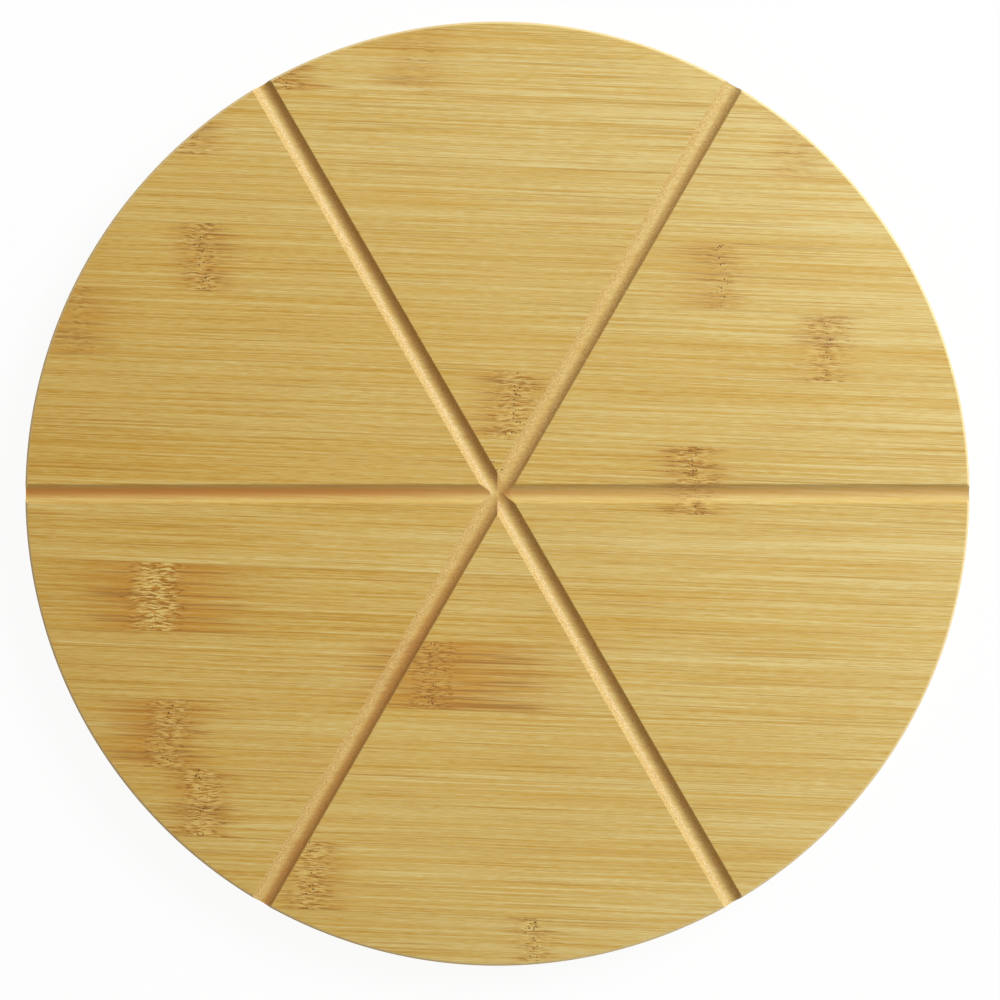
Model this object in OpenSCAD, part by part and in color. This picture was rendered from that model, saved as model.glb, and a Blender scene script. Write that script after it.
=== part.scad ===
// Round serving board for pizza, cut from a cross-laminated bamboo panel.
// Three plies of glued strips, bevelled rim edges, and straight grooves that part the pizza into slices.
// Millimetres. The origin is the centre of the underside, +Z is up, and the level groove runs along X.

/* [Board] */
// Diameter of the board
board_d = 320; // [260:1:340]
// Bevel that breaks the top and the bottom edge of the rim
rim_bevel = 0.6; // [0.4:0.1:3]
// Turn of the panel's grain away from the level groove, in degrees
grain_turn = -2.2; // [-15:0.1:15]

/* [Plies] */
// Thickness of the top ply
top_ply_t = 5; // [4:0.5:7]
// Thickness of the core ply, whose grain runs crosswise
core_ply_t = 5; // [3:0.5:8]
// Thickness of the bottom ply
bottom_ply_t = 5; // [4:0.5:7]

/* [Top Strips] */
// Number of whole strips, between the cut strips at the front and back edges
top_whole_strips = 13; // [9:1:16]
// Width left of the strip at the front edge
top_front_w = 16.8; // [2:0.1:22]
// Width left of the strip at the back edge
top_back_w = 2.9; // [2:0.1:22]

/* [Core Strips] */
// Number of whole strips, between the cut strips at the left and right edges
core_whole_strips = 12; // [9:1:16]
// Width left of the strip at the left edge
core_left_w = 21.6; // [2:0.1:22]
// Width left of the strip at the right edge
core_right_w = 21.2; // [2:0.1:22]

/* [Bottom Strips] */
// Number of whole strips, between the cut strips at the front and back edges
bottom_whole_strips = 13; // [9:1:16]
// Width left of the strip at the front edge
bottom_front_w = 8.6; // [2:0.1:22]
// Width left of the strip at the back edge
bottom_back_w = 11.1; // [2:0.1:22]

/* [Grooves] */
// Number of grooves that run right across the board
groove_count = 3; // [1:1:4]
// Diameter of the round-nosed cutter that makes them
cutter_d = 7.6; // [6:0.1:9]
// Depth of the level groove below the top face
level_depth = 1.6; // [1.2:0.1:2.5]
// Depth of the slanted grooves below the top face
slanted_depth = 2.1; // [1.2:0.1:2.8]
// Width of the bevel that eases each shoulder of a groove
shoulder_w = 0.25; // [0.1:0.05:0.5]

/* [Hidden] */
// How far every cutting shape runs past what it cuts
overrun = 2;
board_r = board_d / 2;
board_t = bottom_ply_t + core_ply_t + top_ply_t;
core_z = bottom_ply_t;
top_z = bottom_ply_t + core_ply_t;

cutter_r = cutter_d / 2;
// Slope of the shoulder bevels, in degrees below the top face
shoulder_slope = 35;

// Honey tones of the strips, as red, green and blue
pale_tone = [0.87, 0.75, 0.50];
deep_tone = [0.78, 0.61, 0.33];
core_tone = [0.80, 0.66, 0.41];
// Step that scatters the tones from strip to strip
tone_step_share = 0.618;

rim_facets = 240;
cut_facets = 48;

// Places of a ply's glue joints, across its strips: the whole strips share the width between the cut ones
function joints(whole_strips, first_w, last_w) =
    let (strip_w = (board_d - first_w - last_w) / whole_strips)
    [for (i = [0 : whole_strips - 1]) first_w - board_r + i * strip_w, board_r - last_w];

top_joints = joints(top_whole_strips, top_front_w, top_back_w);
core_joints = joints(core_whole_strips, core_left_w, core_right_w);
bottom_joints = joints(bottom_whole_strips, bottom_front_w, bottom_back_w);

// Names of a ply's strips in their order: a cut strip, the whole ones by number, and the other cut strip
function strip_names(ply, first_edge, last_edge, whole_strips) = [
    str(ply, "_", first_edge, "_strip"),
    for (i = [1 : whole_strips]) str(ply, "_strip_", i < 10 ? "0" : "", i),
    str(ply, "_", last_edge, "_strip")
];

top_names = strip_names("top", "front", "back", top_whole_strips);
core_names = strip_names("core", "left", "right", core_whole_strips);
bottom_names = strip_names("bottom", "front", "back", bottom_whole_strips);

function strip_tone(i) =
    let (share = i * tone_step_share - floor(i * tone_step_share))
    pale_tone * (1 - share) + deep_tone * share;

// Half of the board's section, from its axis to the rim
module board_section() {
    polygon([
        [0, 0],
        [board_r - rim_bevel, 0],
        [board_r, rim_bevel],
        [board_r, board_t - rim_bevel],
        [board_r - rim_bevel, board_t],
        [0, board_t]
    ]);
}

// The whole board before it is parted into strips
module board_blank() {
    rotate_extrude($fn = rim_facets) board_section();
}

// Half the width that the cutter opens in the top face at a depth
function cut_half_w(depth) = sqrt(pow(cutter_r, 2) - pow(cutter_r - depth, 2));

// Section of a groove, with Y up from the top face: the cutter's round and the shoulder bevels above it
module groove_section(depth) {
    top_half_w = cut_half_w(depth) + shoulder_w + overrun / tan(shoulder_slope);
    low_half_w = cut_half_w(depth) + shoulder_w - depth / 2 / tan(shoulder_slope);
    translate([0, cutter_r - depth]) circle(r = cutter_r, $fn = cut_facets);
    polygon([
        [-low_half_w, -depth / 2],
        [low_half_w, -depth / 2],
        [top_half_w, overrun],
        [-top_half_w, overrun]
    ]);
}

// All the grooves, evenly turned about the centre. The first one is the level groove.
module grooves() {
    for (i = [0 : groove_count - 1]) {
        rotate([0, 0, i * 180 / groove_count])
            translate([-board_r - overrun, 0, board_t])
                rotate([90, 0, 90]) linear_extrude(board_d + 2 * overrun)
                    groove_section(i == 0 ? level_depth : slanted_depth);
    }
}

// The straight space of strip i of a ply, counted from 0, which runs along X and reaches from z up to z + t
module strip_space(ply_joints, i, z, t) {
    front = i == 0 ? -board_r - overrun : ply_joints[i - 1];
    back = i == len(ply_joints) ? board_r + overrun : ply_joints[i];
    translate([-board_r - overrun, front, z]) cube([board_d + 2 * overrun, back - front, t]);
}

// A strip of the top ply, with the grooves cut across it
module top_strip(i) {
    color(strip_tone(i)) difference() {
        intersection() {
            board_blank();
            rotate([0, 0, grain_turn]) strip_space(top_joints, i, top_z, top_ply_t + overrun);
        }
        grooves();
    }
}

// A strip of the core ply, which runs crosswise
module core_strip(i) {
    color(core_tone) intersection() {
        board_blank();
        rotate([0, 0, grain_turn - 90]) strip_space(core_joints, i, core_z, core_ply_t);
    }
}

// A strip of the bottom ply
module bottom_strip(i) {
    color(strip_tone(i)) intersection() {
        board_blank();
        rotate([0, 0, grain_turn]) strip_space(bottom_joints, i, -overrun, bottom_ply_t + overrun);
    }
}

for (i = [0 : len(top_names) - 1]) {
    top_strip(i);
}
for (i = [0 : len(core_names) - 1]) {
    core_strip(i);
}
for (i = [0 : len(bottom_names) - 1]) {
    bottom_strip(i);
}
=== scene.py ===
import math
import random

import bpy
import numpy as np
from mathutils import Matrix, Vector, geometry


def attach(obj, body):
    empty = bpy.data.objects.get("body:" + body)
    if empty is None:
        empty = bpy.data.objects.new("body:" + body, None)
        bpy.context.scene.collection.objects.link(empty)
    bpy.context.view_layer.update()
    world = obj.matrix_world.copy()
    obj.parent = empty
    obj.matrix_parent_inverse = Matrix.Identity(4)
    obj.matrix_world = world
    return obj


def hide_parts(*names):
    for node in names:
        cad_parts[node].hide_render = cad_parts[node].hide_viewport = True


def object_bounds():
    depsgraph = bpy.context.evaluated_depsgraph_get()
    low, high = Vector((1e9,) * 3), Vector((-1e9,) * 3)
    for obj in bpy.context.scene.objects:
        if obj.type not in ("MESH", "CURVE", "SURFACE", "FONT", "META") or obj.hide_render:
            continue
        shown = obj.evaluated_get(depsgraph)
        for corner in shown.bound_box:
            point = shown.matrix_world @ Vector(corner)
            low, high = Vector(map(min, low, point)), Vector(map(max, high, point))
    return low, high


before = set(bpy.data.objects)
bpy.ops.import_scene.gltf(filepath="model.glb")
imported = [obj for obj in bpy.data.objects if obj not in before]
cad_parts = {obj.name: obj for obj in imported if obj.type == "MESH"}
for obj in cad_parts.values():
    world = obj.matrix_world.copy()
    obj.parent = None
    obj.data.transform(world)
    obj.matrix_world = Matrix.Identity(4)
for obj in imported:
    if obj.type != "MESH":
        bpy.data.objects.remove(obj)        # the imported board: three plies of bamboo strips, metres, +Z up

cad_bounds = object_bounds()

# Sizes of the board, in metres. The outline and the thickness are the frame's own.
BOARD_R = cad_bounds[1].x
BOARD_T = cad_bounds[1].z
PLY_T = BOARD_T / 3
RIM_BEVEL = 0.0006
RIM_WEAR = 0.0004
GRAIN_TURN = math.radians(-2.2)

# Strips of each ply: how many are whole, and the widths left of the cut ones at the two edges
TOP_PLY = {"ply": "top", "edges": ("front", "back"), "whole": 13, "cut_widths": (0.0168, 0.0029)}
CORE_PLY = {"ply": "core", "edges": ("left", "right"), "whole": 12, "cut_widths": (0.0216, 0.0212)}
BOTTOM_PLY = {"ply": "bottom", "edges": ("front", "back"), "whole": 13, "cut_widths": (0.0086, 0.0111)}
# Seed of each ply's first strip, and the step from strip to strip
SEEDS = {"top": (7.0, 3.1), "core": (120.0, 2.7), "bottom": (210.0, 2.9)}

# Grooves: the cutter's radius, the headings of the three cuts and how deep each one goes
CUTTER_R = 0.0038
LEVEL_DEPTH = 0.0016
SLANTED_DEPTH = 0.0021
GROOVES = [(0.0, LEVEL_DEPTH), (math.radians(60), SLANTED_DEPTH), (math.radians(120), SLANTED_DEPTH)]
SHOULDER_EASE = 0.0005
CREASE_EASE = 0.0001

# Spacing of the mesh: along a groove or round the rim, where the grooves cross, over the rim's corner, and
# across a groove and its shoulders
LONG_STEP = 0.0015
CROSSING_STEP = 0.0003
CROSSING_R = 0.0095
RIM_STEPS = 7
GROOVE_STEPS = 10
SHOULDER_SHARES = (0.15, 0.3, 0.6, 0.9)
MERGE_DIGITS = 7
MERGE = 10.0**-MERGE_DIGITS
SHARP = math.radians(40)


def joints(whole, cut_widths):
    """Places of a ply's glue joints across its strips, with the two ends of the board."""
    first, last = cut_widths
    inner = np.linspace(first - BOARD_R, BOARD_R - last, whole + 1)
    return [-BOARD_R, *inner, BOARD_R]


def strip_names(ply, edges, whole):
    """Names of a ply's strips, from one cut strip to the other."""
    numbered = [f"{ply}_strip_{i:02d}" for i in range(1, whole + 1)]
    return [f"{ply}_{edges[0]}_strip", *numbered, f"{ply}_{edges[1]}_strip"]


def smooth_max(a, b, ease):
    """The larger of two heights, with the corner between them rounded over about that much."""
    near = np.maximum(ease - np.abs(a - b), 0) / ease
    return np.maximum(a, b) + near * near * ease / 4


def groove_depth(x, y):
    """How far the grooves go below the top face, at places on the board. It is negative beside them."""
    deepest = np.full(len(x), -CUTTER_R)
    for heading, depth in GROOVES:
        aside = np.minimum(np.abs(y * math.cos(heading) - x * math.sin(heading)), CUTTER_R)
        cut = np.sqrt(CUTTER_R**2 - aside**2) - (CUTTER_R - depth)
        deepest = smooth_max(deepest, cut, CREASE_EASE)
    return deepest


def rim_drop(x, y):
    """How far the bevel of the rim falls below the flat face, with its inner corner a little worn."""
    return smooth_max(0.0, np.hypot(x, y) - (BOARD_R - RIM_BEVEL), RIM_WEAR)


def top_height(x, y):
    return BOARD_T - smooth_max(rim_drop(x, y), groove_depth(x, y), SHOULDER_EASE)


def bottom_height(x, y):
    return rim_drop(x, y)


def line_in_strip(offset, heading, span, radius):
    """Points along a straight line, where it lies within the radius and between the strip's two sides."""
    along = np.array([math.cos(heading), math.sin(heading)])
    middle = offset * np.array([-along[1], along[0]])
    reach = math.sqrt(radius**2 - offset**2)
    low, high = -reach, reach
    if abs(along[1]) > MERGE:
        ends = sorted((side - middle[1]) / along[1] for side in span)
        low, high = max(low, ends[0]), min(high, ends[1])
    if high - low < LONG_STEP / 10:
        return []
    places = np.linspace(low, high, max(2, math.ceil((high - low) / LONG_STEP) + 1))
    return [middle + places[:, None] * along]


def arcs_in_strip(radius, span):
    """Points along the right and the left arc of a circle, between the strip's two sides."""
    low, high = (math.asin(max(-1, min(1, side / radius))) for side in span)
    if high - low < MERGE:
        return []
    steps = max(2, math.ceil((high - low) * radius / LONG_STEP) + 1)
    angles = np.linspace(low, high, steps)
    right = radius * np.column_stack([np.cos(angles), np.sin(angles)])
    return [right, right * [-1, 1]]


def sides_of_strip(span):
    """The straight sides of a strip, from rim to rim."""
    lines = []
    for side in span:
        reach = math.sqrt(max(0, BOARD_R**2 - side**2))
        if reach > MERGE:
            lines.append(np.array([[-reach, side], [reach, side]]))
    return lines


def rim_lines(span):
    """Circles that carry the bevel of the rim and its worn corner."""
    radii = BOARD_R - RIM_BEVEL + RIM_WEAR * np.linspace(-1, 1, RIM_STEPS)
    return [arc for radius in radii for arc in arcs_in_strip(radius, span)]


def groove_lines(span):
    """Lines that carry the grooves, from one shoulder to the other."""
    lines = []
    for heading, depth in GROOVES:
        half = math.sqrt(CUTTER_R**2 - (CUTTER_R - depth) ** 2)
        inner = half * np.sin(np.linspace(0, math.pi / 2, GROOVE_STEPS))
        outer = half + SHOULDER_EASE * np.array(SHOULDER_SHARES)
        for offset in {s * o for o in [*inner, *outer] for s in (-1, 1)}:
            lines += line_in_strip(offset, heading - GRAIN_TURN, span, BOARD_R + MERGE * 100)
    return lines


def crossing_lines(span):
    """A fine lattice where the grooves cross, so that their walls meet in crisp lines."""
    count = round(CROSSING_R / CROSSING_STEP)
    lines = []
    for row in np.arange(-count, count + 1) * CROSSING_STEP:
        if span[0] < row < span[1]:
            half = math.sqrt(max(0, CROSSING_R**2 - row**2))
            steps = max(2, math.ceil(2 * half / CROSSING_STEP) + 1)
            places = np.linspace(-half, half, steps)
            lines.append(np.column_stack([places, np.full(steps, row)]))
    return lines


def triangulate(lines):
    """Flat triangles inside the closed outline that the lines hold, with an edge along every line."""
    points, edges = [], []
    for line in lines:
        first = len(points)
        points += [Vector(p) for p in np.round(line, MERGE_DIGITS) + 0.0]
        edges += [(i, i + 1) for i in range(first, len(points) - 1)]
    places, _, faces, *_ = geometry.delaunay_2d_cdt(points, edges, [], 1, MERGE)
    used, faces = np.unique(np.array(faces), return_inverse=True)
    return np.array([tuple(p) for p in places])[used], faces.reshape(-1, 3)


def outline_edges(faces):
    """Edges that only one triangle uses, each in that triangle's own direction."""
    used = {(f[i], f[(i + 1) % 3]) for f in faces.tolist() for i in range(3)}
    return sorted(edge for edge in used if edge[::-1] not in used)


def plain_cover(places, edges):
    """Triangles that close a flat outline, as indices into its places."""
    corners = sorted({i for edge in edges for i in edge})
    order = {old: new for new, old in enumerate(corners)}
    points = [Vector(places[i]) for i in corners]
    inner = [(order[a], order[b]) for a, b in edges]
    _, _, faces, origins, *_ = geometry.delaunay_2d_cdt(points, inner, [], 1, MERGE / 10)
    return [tuple(corners[origins[i][0]] for i in face) for face in faces]


def strip_piece(name, span, turn, lines, shaped_height, plain_z):
    """A closed strip between a shaped face and a plain one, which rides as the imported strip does."""
    places, faces = triangulate([*sides_of_strip(span), *arcs_in_strip(BOARD_R, span), *lines])
    edges = outline_edges(faces)
    x = places[:, 0] * math.cos(turn) - places[:, 1] * math.sin(turn)
    y = places[:, 0] * math.sin(turn) + places[:, 1] * math.cos(turn)
    shaped = np.column_stack([x, y, shaped_height(x, y)])
    below = {i: len(shaped) + n for n, i in enumerate(sorted({i for edge in edges for i in edge}))}
    plain = np.column_stack([x, y, np.full(len(x), plain_z)])[list(below)]
    shell = [tuple(face) for face in faces.tolist()]
    shell += [(b, a, below[a], below[b]) for a, b in edges]
    shell += [tuple(below[i] for i in face[::-1]) for face in plain_cover(places, edges)]
    if shaped[:, 2].max() < plain_z:
        shell = [face[::-1] for face in shell]
    mesh = bpy.data.meshes.new(name)
    mesh.from_pydata(np.vstack([shaped, plain]).tolist(), [], shell)
    mesh.shade_smooth()
    mesh.set_sharp_from_angle(angle=SHARP)
    piece = bpy.data.objects.new(f"{name}_wood", mesh)
    bpy.context.scene.collection.objects.link(piece)
    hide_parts(name)
    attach(piece, "root")
    return piece


def tone(red, green, blue):
    """A colour from its screen values, 0 to 255, as the shaders take it."""
    shares = [c / 255 for c in (red, green, blue)]
    return (*[c / 12.92 if c <= 0.04045 else ((c + 0.055) / 1.055) ** 2.4 for c in shares], 1)


# Tones of the plain wood, of its knuckles, of the faces that a cutter or a saw left, of the glue lines, of
# the painted shade on groove walls and of the painted light on the rim's bevels
PALE = tone(227, 207, 141)
HONEY = tone(213, 181, 100)
DEEP = tone(196, 152, 64)
ORANGE = tone(207, 158, 60)
STREAK = tone(172, 120, 42)
STAIN = tone(196, 138, 48)
BROWN = tone(160, 110, 52)
DASH = tone(142, 90, 32)
CREAM = tone(234, 210, 130)
PORE = tone(84, 46, 14)
ROUTED = tone(206, 168, 98)
# Painted shade for the groove walls that face away from the key lamp
PAINTED_SHADE_BROWN = tone(184, 120, 50)
GRIT_DARK = tone(154, 104, 46)
GRIT_PALE = tone(248, 234, 180)
GLUE = tone(172, 130, 54)
SEAM = tone(120, 82, 38)
# Painted light for the rim's bevels, which lifts the shade they take
BEVEL_PAINTED_LIGHT = tone(244, 228, 176)

# Marks that are drawn out along the grain: length and width in metres, seed step, detail and roughness
FIBRES = {
    "hair": (0.045, 0.00040, 0, 1.0, 0.6),
    "line": (0.32, 0.0008, 1, 2.0, 0.8),
    "band": (0.40, 0.0030, 2, 1.0, 0.5),
    "warm": (0.10, 0.0006, 3, 2.0, 0.6),
    "thin": (0.06, 0.0004, 4, 1.0, 0.5),
    "cloud": (0.016, 0.0008, 5, 3.0, 0.6),
    "mottle": (0.0034, 0.00042, 6, 2.0, 0.55),
    "grit": (0.0005, 0.00030, 9, 1.0, 0.6),
    "drift": (0.30, 0.013, 10, 1.0, 0.5),
    "fibre_end": (10.0, 0.0007, 11, 3.0, 0.7),
    "bend": (10.0, 0.007, 12, 2.0, 0.5),
    "wander": (0.12, 0.04, 13, 2.0, 0.5),
    "wave": (0.0045, 0.0026, 14, 2.0, 0.5),
    "short": (0.0045, 0.00034, 15, 1.0, 0.5),
    "streak": (0.060, 0.0009, 16, 2.0, 0.5),
}


class Shading:
    """The node tree of one material, with short calls that add a node and link what feeds it."""

    def __init__(self, name):
        self.material = bpy.data.materials.new(name)
        self.material.use_nodes = True
        self.tree = self.material.node_tree
        self.tree.nodes.clear()

    def add(self, kind, feeds, **settings):
        node = self.tree.nodes.new(kind)
        for name, value in settings.items():
            setattr(node, name, value)
        for socket, value in feeds.items():
            if isinstance(value, bpy.types.NodeSocket):
                self.tree.links.new(value, node.inputs[socket])
            else:
                node.inputs[socket].default_value = value
        return node

    def math(self, operation, *values):
        return self.add("ShaderNodeMath", dict(enumerate(values)), operation=operation).outputs[0]

    def ease(self, value, low, high, start=0.0, end=1.0):
        """Goes smoothly from start to end while the value goes from low to high."""
        feeds = {"Value": value, "From Min": low, "From Max": high, "To Min": start, "To Max": end}
        return self.add("ShaderNodeMapRange", feeds, interpolation_type="SMOOTHSTEP").outputs["Result"]

    def blend(self, share, first, second):
        """The colour that lies that share of the way from the first to the second."""
        return self.add("ShaderNodeMix", {0: share, 6: first, 7: second}, data_type="RGBA").outputs[2]

    def fibres(self, place, mark, seed):
        """Noise that is drawn out along the grain, with marks of the size and make that the table gives."""
        length, width, step, detail, roughness = FIBRES[mark]
        shift = seed + step
        feeds = {
            "Vector": place,
            "Location": (shift, shift * 1.7, shift * 2.3),
            "Scale": (1 / length, 1 / width, 1 / width),
        }
        spot = self.add("ShaderNodeMapping", feeds).outputs[0]
        feeds = {"Vector": spot, "Scale": 1.0, "Detail": detail, "Roughness": roughness}
        return self.add("ShaderNodeTexNoise", feeds).outputs["Fac"]

    def dots(self, place, size, seed):
        """Distance from the nearest of many scattered points, in cells, and that cell's own random number."""
        feeds = {
            "Vector": place,
            "Location": (seed, seed * 1.3, seed * 2.1),
            "Scale": tuple(1 / s for s in size),
        }
        spot = self.add("ShaderNodeMapping", feeds).outputs[0]
        cells = self.add("ShaderNodeTexVoronoi", {"Vector": spot, "Scale": 1.0})
        number = self.add("ShaderNodeSeparateColor", {"Color": cells.outputs["Color"]}).outputs[0]
        return cells.outputs["Distance"], number


# How much each kind of mark adds to how pale the wood is, how much paler the wood grows along the grain,
# which is painted light towards the key lamp's side on the serving face, and a shift of the whole
PALENESS_WEIGHTS = {"line": 0.66, "short": 0.50, "band": 0.30, "drift": 0.18}
HAIR_WEIGHT = 0.54
PAINTED_LIGHT_ALONG = 0.63
LEVEL_SHIFT = -0.525
# How far the fibre ends of a knuckle stray, for its brown marks, its middle and its row of pores, in metres
RAGGED = {"marks": 0.050, "middle": 0.016, "row": 0.006}
BEND = 0.008
WANDER = 0.0008
WAVE = 0.0018
PORE_ROW = 0.0022
PORE_CELL = (0.0011, 0.0012, 0.0012)
PORE_SEED = 8
GLUE_W = 0.0002
# Depths below the face between which the saw's and the cutter's surface takes over
CUT_DEPTHS = (0.00005, 0.0005)
GRAIN_RELIEF = 0.0002


def centred(s, noise, reach):
    """The noise as a length that strays about half the reach to either side of zero."""
    return s.math("MULTIPLY_ADD", noise, reach, -reach / 2)


def ragged_ends(s, place, seed):
    """How far each fibre's end lies from the mean place of a knuckle, for its marks of each kind."""
    fibre = s.math("SUBTRACT", s.fibres(place, "fibre_end", seed), 0.5)
    bend = centred(s, s.fibres(place, "bend", seed), BEND)
    return {name: s.math("MULTIPLY_ADD", fibre, reach, bend) for name, reach in RAGGED.items()}


def knuckle_masks(s, along, ragged, knuckles):
    """How deep a place lies in the knuckles' brown marks, wavy middle, pale flecks and row of pores."""
    marks, middle, flecks, row = 0.0, 0.0, 0.0, 0.0
    for k in knuckles:
        off = s.math("SUBTRACT", along, k["at"])
        far = s.math("ADD", off, ragged["marks"])
        on_right = s.math("GREATER_THAN", far, 0.0)
        length = s.math("MULTIPLY_ADD", on_right, k["right"] - k["left"], k["left"])
        share = s.math("DIVIDE", s.math("ABSOLUTE", far), length)
        marks = s.math("MAXIMUM", marks, s.ease(share, 1.0, 0.0, 0.0, k["dark"]))
        near = s.math("ABSOLUTE", s.math("ADD", off, ragged["middle"]))
        middle = s.math("MAXIMUM", middle, s.ease(near, k["middle"] * 1.8, k["middle"] * 0.8))
        flecks = s.math("MAXIMUM", flecks, s.ease(near, k["middle"], k["middle"] * 0.4, 0.0, k["pale"]))
        line = s.math("ABSOLUTE", s.math("ADD", off, ragged["row"]))
        row = s.math("MAXIMUM", row, s.ease(line, PORE_ROW, PORE_ROW / 2, 0.0, k["pores"]))
    return marks, middle, flecks, row


def fibre_colour(s, grain, along, hair, seed, paleness):
    """Colour of the plain wood: long fine lines and wider bands, with a few warm and a few dark streaks, and
    painted light that makes it paler along the grain, towards the key lamp on the serving face.
    """
    # Painted light: paler along the grain, on the serving face towards the right where the key lamp stands
    level = s.math("MULTIPLY_ADD", along, PAINTED_LIGHT_ALONG, paleness + LEVEL_SHIFT)
    level = s.math("MULTIPLY_ADD", hair, HAIR_WEIGHT, level)
    for mark, weight in PALENESS_WEIGHTS.items():
        level = s.math("MULTIPLY_ADD", s.fibres(grain, mark, seed), weight, level)
    colour = s.blend(s.ease(level, 0.28, 0.54), DEEP, HONEY)
    colour = s.blend(s.ease(level, 0.50, 0.84), colour, PALE)
    warm = s.ease(s.fibres(grain, "warm", seed), 0.50, 0.68, 0.0, 0.5)
    colour = s.blend(warm, colour, ORANGE)
    thin = s.ease(s.fibres(grain, "thin", seed), 0.57, 0.74, 0.0, 0.55)
    return s.blend(thin, colour, STREAK)


def knuckle_colour(s, colour, grain, seed, marks, middle, flecks):
    """The wood's colour with the knuckles on it: stain, brown streaks, and dark dashes among pale flecks."""
    cloud = s.ease(s.fibres(grain, "cloud", seed), 0.34, 0.62, 0.40, 0.90)
    colour = s.blend(s.math("MULTIPLY", marks, cloud), colour, STAIN)
    streaks = s.ease(s.fibres(grain, "streak", seed), 0.48, 0.66, 0.0, 0.70)
    colour = s.blend(s.math("MULTIPLY", streaks, s.ease(marks, 0.0, 0.5)), colour, BROWN)
    mottle = s.fibres(grain, "mottle", seed)
    colour = s.blend(s.math("MULTIPLY", flecks, s.ease(mottle, 0.47, 0.60, 0.0, 0.9)), colour, CREAM)
    gate = s.math("MULTIPLY_ADD", middle, 0.16, 0.29)
    dashes = s.ease(s.math("SUBTRACT", mottle, gate), 0.04, -0.10, 0.0, 0.75)
    dashes = s.math("MULTIPLY", dashes, s.math("MULTIPLY", middle, s.ease(marks, 0.15, 0.75)))
    return s.blend(dashes, colour, DASH)


def pores_in(s, place, seed, row):
    """Small dark pores, scattered along the row of each knuckle."""
    distance, number = s.dots(place, PORE_CELL, seed + PORE_SEED)
    kept = s.math("GREATER_THAN", number, 0.25)
    return s.math("MULTIPLY", s.math("MULTIPLY", s.ease(distance, 0.34, 0.16), kept), row)


# Painted shade: brown stripes on the groove walls that face away from the key lamp. Columns: the groove, the
# wall's side, where the stripe rises and falls across the groove, and two places along it with the strength
# that the stripe has there
PAINTED_GROOVE_SHADES = [
    (GROOVES[0], 1, (-0.0026, 0.0006), (0.0034, 0.0010), (0.04, -0.06), (0.40, 0.85)),
    (GROOVES[1], -1, (-0.0014, 0.0012), (0.0040, 0.0030), (0.03, -0.06), (0.20, 0.60)),
    (GROOVES[2], -1, (-0.0014, 0.0012), (0.0040, 0.0030), (0.10, -0.10), (0.35, 0.25)),
]


def painted_groove_shade(s, board, up, groove, wall, rise, fall, places, strengths):
    """How strongly painted shade darkens one wall of a groove, the wall that faces away from the key lamp."""
    heading, depth = groove
    turned = s.add("ShaderNodeMapping", {"Vector": board, "Rotation": (0, 0, -heading)}).outputs[0]
    along, across, _ = s.add("ShaderNodeSeparateXYZ", {"Vector": turned}).outputs
    aside = s.math("MULTIPLY", across, wall)
    stripe = s.math("MULTIPLY", s.ease(aside, *rise), s.ease(aside, *fall))
    share = s.math("MULTIPLY", stripe, s.ease(along, *places, *strengths))
    return s.math("MULTIPLY", share, s.math("GREATER_THAN", up, BOARD_T - depth))


# Places where the cutter tore the fibres beside the crossing, and the half length and half width of a chip
CHIPS = [(-0.0004, 0.0080), (0.0015, 0.0081), (-0.0016, 0.0108)]
CHIP_SIZE = (0.0011, 0.0006, 1.0)


def chipped(s, board, span, turn):
    """How near a place is to the middle of a chip, for those chips that lie in the strip."""
    nearest = 0.0
    for x, y in CHIPS:
        if span[0] < y * math.cos(turn) - x * math.sin(turn) < span[1]:
            middle = (x, y, BOARD_T)
            off = s.add("ShaderNodeVectorMath", {0: board, 1: middle}, operation="SUBTRACT").outputs[0]
            spot = s.add("ShaderNodeVectorMath", {0: off, 1: CHIP_SIZE}, operation="DIVIDE").outputs[0]
            far = s.add("ShaderNodeVectorMath", {0: spot}, operation="LENGTH").outputs["Value"]
            nearest = s.math("MAXIMUM", nearest, s.math("SUBTRACT", 1.0, far))
    return nearest


def joined(s, colour, across, level, span):
    """The colour with the glue lines at the strip's two sides and between the plies."""
    side = s.math("MINIMUM", s.math("SUBTRACT", across, span[0]), s.math("SUBTRACT", span[1], across))
    colour = s.blend(s.ease(side, GLUE_W, GLUE_W / 2, 0.0, 0.35), colour, GLUE)
    seam = s.math("ABSOLUTE", s.math("SUBTRACT", level, PLY_T / 2))
    return s.blend(s.ease(seam, GLUE_W * 1.5, GLUE_W / 2, 0.0, 0.75), colour, SEAM)


def end_grain_share(s, turn):
    """How squarely the surface is cut across the fibres."""
    normal = s.add("ShaderNodeNewGeometry", {}).outputs["Normal"]
    feeds = {0: normal, 1: (math.cos(turn), math.sin(turn), 0)}
    ends = s.add("ShaderNodeVectorMath", feeds, operation="DOT_PRODUCT").outputs["Value"]
    return s.ease(s.math("ABSOLUTE", ends), 0.03, 0.35)


def gritty(s, colour, grit, end_grain):
    """The colour with dark and pale fibre ends, where the surface is cut across them."""
    pale_ends = s.ease(grit, 0.48, 0.70, 0.0, 0.50)
    dark_ends = s.ease(grit, 0.52, 0.32, 0.0, 0.45)
    colour = s.blend(s.math("MULTIPLY", end_grain, 0.55), colour, ROUTED)
    colour = s.blend(s.math("MULTIPLY", end_grain, pale_ends), colour, GRIT_PALE)
    return s.blend(s.math("MULTIPLY", end_grain, dark_ends), colour, GRIT_DARK)


def rim_painted_light(s, along, across, under):
    """How much painted light covers the bevels of the rim, a paler tone that lifts the shade they take."""
    flat = s.add("ShaderNodeCombineXYZ", {0: along, 1: across}).outputs[0]
    radius = s.add("ShaderNodeVectorMath", {0: flat}, operation="LENGTH").outputs["Value"]
    outside = s.ease(radius, BOARD_R - RIM_BEVEL - RIM_WEAR, BOARD_R - RIM_BEVEL)
    return s.math("MULTIPLY", outside, s.ease(under, RIM_BEVEL + RIM_WEAR, RIM_BEVEL, 0.0, 0.5))


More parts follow.
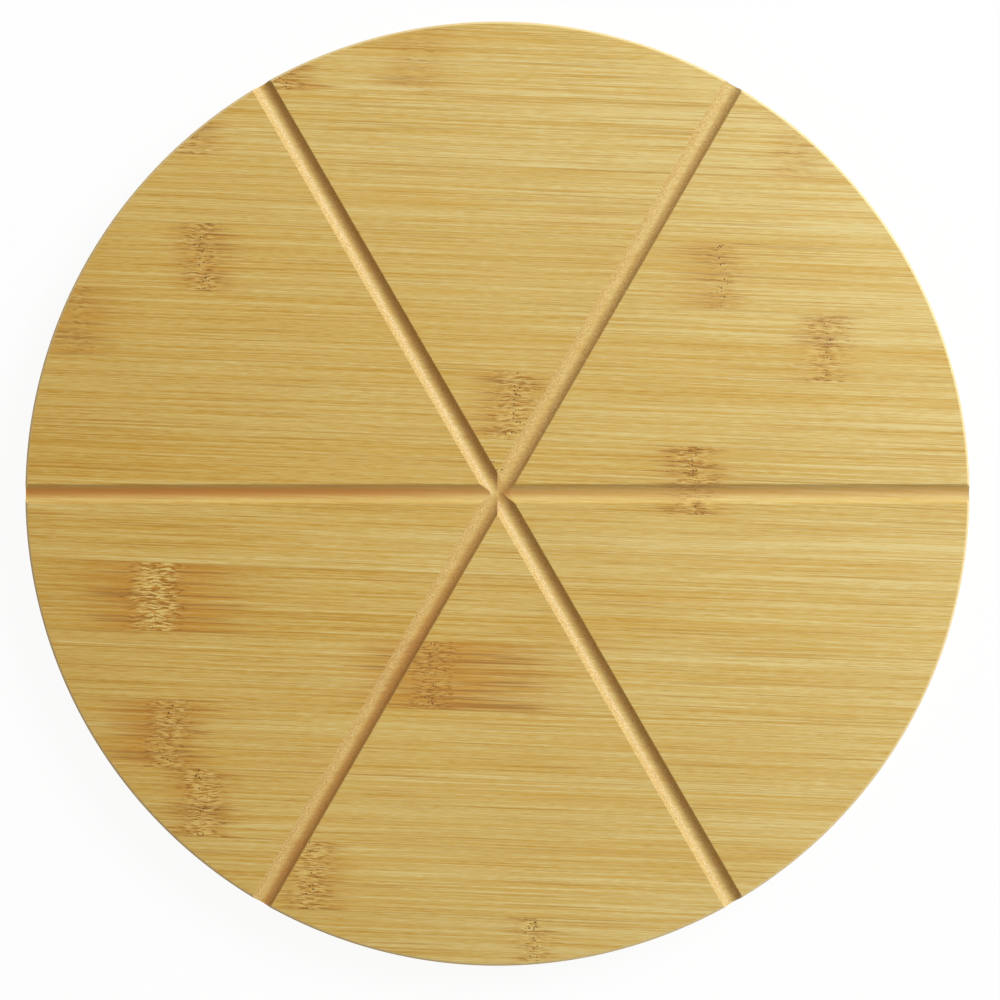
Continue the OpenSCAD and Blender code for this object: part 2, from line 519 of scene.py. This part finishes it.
def bamboo(name, seed, paleness, knuckles, span, turn):
    """Bamboo strip: long fibres, growth knuckles, glue lines, and gritty ends where it is cut across."""
    s = Shading(name)
    board = s.add("ShaderNodeTexCoord", {}).outputs["Object"]
    place = s.add("ShaderNodeMapping", {"Vector": board, "Rotation": (0, 0, -turn)}).outputs[0]
    along, across, up = s.add("ShaderNodeSeparateXYZ", {"Vector": place}).outputs
    marks, middle, flecks, row = knuckle_masks(s, along, ragged_ends(s, place, seed), knuckles)

    wander = centred(s, s.fibres(place, "wander", seed), WANDER)
    wave = centred(s, s.fibres(place, "wave", seed), WAVE)
    sway = s.math("MULTIPLY_ADD", wave, middle, wander)
    grain = s.add("ShaderNodeCombineXYZ", {0: along, 1: s.math("ADD", across, sway), 2: up}).outputs[0]
    hair = s.fibres(grain, "hair", seed)
    grit = s.fibres(place, "grit", seed)
    pores = pores_in(s, place, seed, row)
    end_grain = end_grain_share(s, turn)
    level = s.math("ABSOLUTE", s.math("SUBTRACT", up, BOARD_T / 2))
    under = s.math("SUBTRACT", BOARD_T / 2, level)
    cut = s.ease(under, *CUT_DEPTHS)

    colour = fibre_colour(s, grain, along, hair, seed, paleness)
    colour = knuckle_colour(s, colour, grain, seed, marks, middle, flecks)
    colour = s.blend(pores, colour, PORE)
    colour = joined(s, colour, across, level, span)
    colour = s.blend(s.math("MULTIPLY", cut, 0.30), colour, PALE)
    colour = gritty(s, colour, grit, end_grain)
    # Painted shade: brown on the groove walls that face away from the key lamp
    for shade_stripe in PAINTED_GROOVE_SHADES:
        colour = s.blend(s.math("MULTIPLY", cut, painted_groove_shade(s, board, up, *shade_stripe)), colour, PAINTED_SHADE_BROWN)
    chips = s.math("MULTIPLY", chipped(s, board, span, turn), s.math("GREATER_THAN", up, 2 * PLY_T))
    colour = s.blend(s.ease(chips, 0.0, 0.3, 0.0, 0.5), colour, CREAM)
    ragged_chips = s.math("MULTIPLY", chips, s.math("MULTIPLY_ADD", grit, 3.0, -0.5))
    torn = s.ease(ragged_chips, 0.35, 0.60, 0.0, 0.85)
    colour = s.blend(torn, colour, DASH)
    # Painted light on the rim's bevels, which lifts the shade they take
    colour = s.blend(rim_painted_light(s, along, across, under), colour, BEVEL_PAINTED_LIGHT)

    relief = s.math("MULTIPLY_ADD", s.math("MAXIMUM", pores, torn), -1.5, s.math("MULTIPLY", hair, 0.5))
    relief = s.math("MULTIPLY_ADD", s.math("MULTIPLY", grit, end_grain), 1.5, relief)
    feeds = {"Strength": 0.35, "Distance": GRAIN_RELIEF, "Height": relief}
    bump = s.add("ShaderNodeBump", feeds).outputs[0]
    gloss = s.math("MULTIPLY_ADD", hair, 0.2, s.math("MULTIPLY_ADD", cut, -0.04, 0.34))
    feeds = {"Base Color": colour, "Roughness": gloss, "Normal": bump, "Specular IOR Level": 0.3}
    wood = s.add("ShaderNodeBsdfPrincipled", feeds).outputs[0]
    s.add("ShaderNodeOutputMaterial", {"Surface": wood})
    return s.material


def knuckle(at, left, right, middle, dark, pale, pores):
    """A growth knuckle: where it is, how far its marks and its middle reach, and how strong it is."""
    return {
        "at": at, "left": left, "right": right, "middle": middle,
        "dark": dark, "pale": pale, "pores": pores,
    }


# Knuckles on the strips of the serving face, as the photograph shows them
TOP_KNUCKLES = {
    "top_front_strip": [knuckle(0.0175, 0.010, 0.008, 0.006, 0.5, 0.8, 0.9)],
    "top_strip_01": [knuckle(-0.0585, 0.014, 0.016, 0.007, 0.8, 0.7, 0.8)],
    "top_strip_02": [knuckle(-0.0965, 0.016, 0.014, 0.007, 0.9, 0.7, 0.9)],
    "top_strip_03": [knuckle(-0.1085, 0.030, 0.018, 0.007, 1.0, 0.6, 0.9)],
    "top_strip_04": [knuckle(-0.0195, 0.036, 0.058, 0.007, 1.0, 0.2, 0.9)],
    "top_strip_05": [knuckle(-0.1145, 0.036, 0.040, 0.009, 1.0, 1.0, 0.5)],
    "top_strip_07": [knuckle(0.0667, 0.016, 0.014, 0.008, 0.8, 0.6, 0.8)],
    "top_strip_08": [knuckle(0.0040, 0.020, 0.014, 0.008, 0.60, 0.6, 1.0)],
    "top_strip_09": [
        knuckle(0.1095, 0.014, 0.012, 0.010, 0.55, 0.5, 0.6),
        knuckle(-0.1440, 0.020, 0.020, 0.004, 0.5, 0.2, 0.0),
    ],
    "top_strip_10": [
        knuckle(0.0730, 0.026, 0.010, 0.004, 0.44, 0.3, 0.8),
        knuckle(-0.1030, 0.014, 0.014, 0.006, 0.8, 0.5, 0.9),
    ],
    "top_strip_12": [
        knuckle(-0.1073, 0.010, 0.012, 0.005, 0.6, 0.4, 0.6),
        knuckle(0.0960, 0.012, 0.012, 0.004, 0.35, 0.3, 0.0),
    ],
    "top_strip_13": [
        knuckle(-0.0762, 0.012, 0.014, 0.005, 1.0, 0.1, 0.8),
        knuckle(-0.0318, 0.020, 0.020, 0.004, 0.3, 0.2, 0.0),
    ],
}
# How much paler or deeper than the rest a strip of the serving face is
TOP_PALENESS = {
    "top_front_strip": 0.03, "top_strip_04": -0.03, "top_strip_05": -0.03, "top_strip_07": -0.04,
    "top_strip_10": 0.02, "top_strip_11": 0.05, "top_strip_12": 0.09, "top_strip_13": 0.07,
}


# The same for the strips that the photograph doesn't show, in turn
CORE_PALENESS = (-0.12, -0.08, -0.04)
BOTTOM_PALENESS = (-0.02, 0.0, 0.02, 0.04)
# Knuckles of the underside: where they lie, how far their marks run, and how strong their stain, flecks
# and pores are
HIDDEN_SPREAD_SHARE = 0.9
HIDDEN_REACH = (0.010, 0.035)
HIDDEN_MIDDLE = 0.007
HIDDEN_STRENGTHS = [(0.5, 1.0), (0.3, 0.9), (0.3, 1.0)]


def scattered_knuckles(i):
    """A knuckle of strip i on the face that the photograph doesn't show, somewhere along the strip."""
    draw = random.Random(i)
    at = draw.uniform(-HIDDEN_SPREAD_SHARE, HIDDEN_SPREAD_SHARE) * BOARD_R
    left, right = (draw.uniform(*HIDDEN_REACH) for _ in range(2))
    dark, pale, pores = (draw.uniform(*strength) for strength in HIDDEN_STRENGTHS)
    return [knuckle(at, left, right, HIDDEN_MIDDLE, dark, pale, pores)]


def make_ply(sizes, turn, lines, shaped_height, plain_z, looks):
    """Every strip of a ply, shaped and finished."""
    places = joints(sizes["whole"], sizes["cut_widths"])
    names = strip_names(sizes["ply"], sizes["edges"], sizes["whole"])
    first_seed, seed_step = SEEDS[sizes["ply"]]
    for i, name in enumerate(names):
        span = (places[i], places[i + 1])
        piece = strip_piece(name, span, turn, lines(span), shaped_height, plain_z)
        paleness, knuckles = looks(i, name)
        wood = bamboo(name, first_seed + seed_step * i, paleness, knuckles, span, turn)
        piece.data.materials.append(wood)


def make_top_ply():
    make_ply(
        TOP_PLY, GRAIN_TURN, lambda span: rim_lines(span) + groove_lines(span) + crossing_lines(span),
        top_height, 2 * PLY_T,
        lambda i, name: (TOP_PALENESS.get(name, 0.0), TOP_KNUCKLES.get(name, [])),
    )


def make_core_ply():
    make_ply(
        CORE_PLY, GRAIN_TURN - math.pi / 2, lambda span: [],
        lambda x, y: np.full(len(x), 2 * PLY_T), PLY_T,
        lambda i, name: (CORE_PALENESS[i % len(CORE_PALENESS)], []),
    )


def make_bottom_ply():
    make_ply(
        BOTTOM_PLY, GRAIN_TURN, rim_lines,
        bottom_height, PLY_T,
        lambda i, name: (BOTTOM_PALENESS[i % len(BOTTOM_PALENESS)], scattered_knuckles(i)),
    )


# Camera: straight above, so far up that the board fills the frame as in the photograph
FRAME_PX = 1000
BOARD_CENTRE_PX = (497.45, 493.64)
BOARD_RADIUS_PX = 472.1
LENS_MM = 100
SENSOR_MM = 36


def make_camera():
    metres_per_px = BOARD_R / BOARD_RADIUS_PX
    height = metres_per_px * FRAME_PX * LENS_MM / SENSOR_MM
    data = bpy.data.cameras.new("camera")
    data.lens = LENS_MM
    data.sensor_width = SENSOR_MM
    camera = bpy.data.objects.new("camera", data)
    bpy.context.scene.collection.objects.link(camera)
    camera.location = (
        (FRAME_PX / 2 - BOARD_CENTRE_PX[0]) * metres_per_px,
        (BOARD_CENTRE_PX[1] - FRAME_PX / 2) * metres_per_px,
        BOARD_T - RIM_BEVEL + height,
    )
    bpy.context.scene.camera = camera


KEY_AZIMUTH = math.radians(34)
KEY_HEIGHT = math.radians(38)
KEY_WATTS = 70
# The fill under the table top only reaches the board's underside
UNDER_AZIMUTH = math.radians(-60)
UNDER_HEIGHT = math.radians(-60)
UNDER_WATTS = 30
LAMP_DISTANCE = 2.5
LAMP_SIZE = 1.3
LAMP_COLOUR = (0.98, 1.03, 1.08)
SKY_LEVEL = 0.27
SKY_COLOUR = (1.0, 0.80, 0.58, 1)


def make_lamp(name, azimuth, height, watts):
    """A square soft lamp that looks at the board from that azimuth and height, in radians."""
    data = bpy.data.lights.new(name, "AREA")
    data.shape = "SQUARE"
    data.size = LAMP_SIZE
    data.energy = watts
    data.color = LAMP_COLOUR
    lamp = bpy.data.objects.new(name, data)
    bpy.context.scene.collection.objects.link(lamp)
    level = math.cos(height)
    toward = Vector((math.cos(azimuth) * level, math.sin(azimuth) * level, math.sin(height)))
    lamp.location = toward * LAMP_DISTANCE
    lamp.rotation_mode = "QUATERNION"
    lamp.rotation_quaternion = toward.to_track_quat("Z", "Y")


def seen_by_eye(tree):
    """1 for a ray that looks, straight, in a reflection or through glass, and 0 for one that only lights."""
    path = tree.nodes.new("ShaderNodeLightPath").outputs
    seen = path["Is Camera Ray"]
    for kind in ("Is Glossy Ray", "Is Transmission Ray"):
        either = tree.nodes.new("ShaderNodeMath")
        either.operation = "MAXIMUM"
        tree.links.new(seen, either.inputs[0])
        tree.links.new(path[kind], either.inputs[1])
        seen = either.outputs[0]
    return seen


def make_lights():
    """A soft key from the right, in a room that lights a little warmer but looks plain white."""
    make_lamp("key", KEY_AZIMUTH, KEY_HEIGHT, KEY_WATTS)
    make_lamp("under_fill", UNDER_AZIMUTH, UNDER_HEIGHT, UNDER_WATTS)
    world = bpy.data.worlds.new("room")
    bpy.context.scene.world = world
    world.use_nodes = True
    tree = world.node_tree
    tree.nodes.clear()
    room = tree.nodes.new("ShaderNodeBackground")
    room.inputs["Color"].default_value = SKY_COLOUR
    room.inputs["Strength"].default_value = SKY_LEVEL
    white = tree.nodes.new("ShaderNodeBackground")
    white.inputs["Color"].default_value = (1, 1, 1, 1)
    both = tree.nodes.new("ShaderNodeMixShader")
    tree.links.new(seen_by_eye(tree), both.inputs[0])
    tree.links.new(room.outputs[0], both.inputs[1])
    tree.links.new(white.outputs[0], both.inputs[2])
    out = tree.nodes.new("ShaderNodeOutputWorld")
    tree.links.new(both.outputs[0], out.inputs["Surface"])


FLOOR_R = 4.0
FLOOR_OVERLAP = 0.0018
FLOOR_GAP = 0.00005
FLOOR_SIDES = 96
FLOOR_COLOUR = (0.95, 0.95, 0.95, 1)
# The share of plain white in the table top that the camera sees, which leaves the rest to the shadow
FLOOR_WHITE_SHARE = 0.94


def make_floor():
    """A white table top that takes the board's shadow. It is open under the board, to let light in there."""
    mesh = bpy.data.meshes.new("floor")
    turns = [i * 2 * math.pi / FLOOR_SIDES for i in range(FLOOR_SIDES)]
    radii = (BOARD_R - FLOOR_OVERLAP, FLOOR_R)
    rings = [(r * math.cos(a), r * math.sin(a), -FLOOR_GAP) for r in radii for a in turns]
    following = [(i + 1) % FLOOR_SIDES for i in range(FLOOR_SIDES)]
    mesh.from_pydata(rings, [], [(i, FLOOR_SIDES + i, FLOOR_SIDES + n, n) for i, n in enumerate(following)])
    floor = bpy.data.objects.new("floor", mesh)
    bpy.context.scene.collection.objects.link(floor)
    s = Shading("table_top")
    matte = s.add("ShaderNodeBsdfDiffuse", {"Color": FLOOR_COLOUR}).outputs[0]
    glow = s.add("ShaderNodeEmission", {"Color": (1, 1, 1, 1), "Strength": 1.0}).outputs[0]
    seen = seen_by_eye(s.tree)
    share = s.math("MULTIPLY", seen, FLOOR_WHITE_SHARE)
    lit = s.add("ShaderNodeMixShader", {0: share, 1: matte, 2: glow}).outputs[0]
    clear = s.add("ShaderNodeBsdfTransparent", {}).outputs[0]
    below = s.add("ShaderNodeNewGeometry", {}).outputs["Backfacing"]
    gone = s.math("MULTIPLY", below, seen)
    both = s.add("ShaderNodeMixShader", {0: gone, 1: lit, 2: clear}).outputs[0]
    s.add("ShaderNodeOutputMaterial", {"Surface": both})
    mesh.materials.append(s.material)


make_camera()
make_top_ply()
make_core_ply()
make_bottom_ply()
make_floor()
make_lights()
bpy.context.scene.view_settings.view_transform = "Standard"
